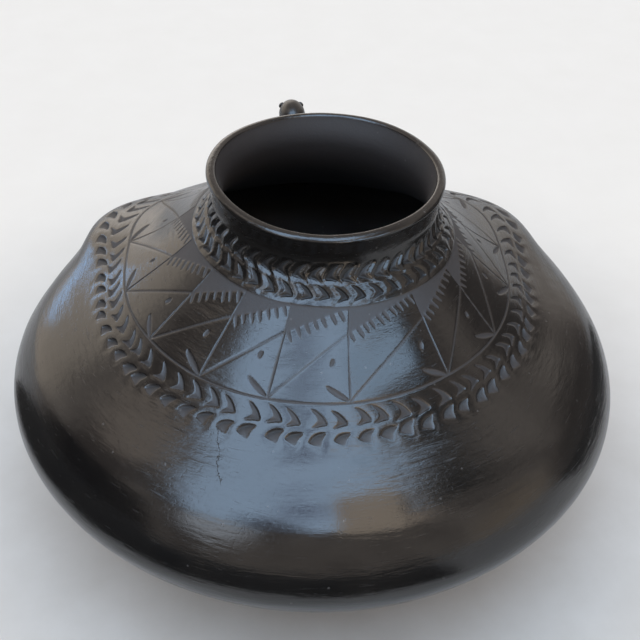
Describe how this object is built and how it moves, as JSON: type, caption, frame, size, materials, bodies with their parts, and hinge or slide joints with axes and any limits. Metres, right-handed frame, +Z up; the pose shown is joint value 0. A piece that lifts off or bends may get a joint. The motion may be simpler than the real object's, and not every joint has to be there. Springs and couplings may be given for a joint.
{
  "type": "effigy pot",
  "caption": "Wide burnished black clay jar with a short flared neck, two swollen haunches, carved and incised bands and a small bird effigy; stands on a flat foot and holds goods",
  "frame": {"origin": "centre of the flat foot, on the surface the jar stands on", "axes": "+Z up out of the mouth, +Y towards the bird effigy, +X to the right when the effigy is behind the mouth"},
  "size_m": [0.2527, 0.2528, 0.1646],
  "materials": {
    "burnished_clay": "burnished black, semi-gloss",
    "carved_clay": "burnished black with gouged marks",
    "incised_clay": "burnished black with matte grey painted and incised figures",
    "plain_clay": "scraped and lightly polished black",
    "effigy_clay": "burnished black, semi-gloss"
  },
  "bodies": {
    "root": {"lip_coil": "burnished_clay", "collar_coil": "carved_clay", "panel_coil": "incised_clay", "band_coil": "carved_clay", "haunch_coil": "burnished_clay", "shoulder_coil": "burnished_clay", "belly_coil": "burnished_clay", "lower_coil": "plain_clay", "base_bowl": "plain_clay", "effigy_neck": "effigy_clay", "effigy_head": "effigy_clay", "effigy_beak": "effigy_clay", "effigy_eye_left": "effigy_clay", "effigy_eye_right": "effigy_clay"}
  },
  "joints": []
}
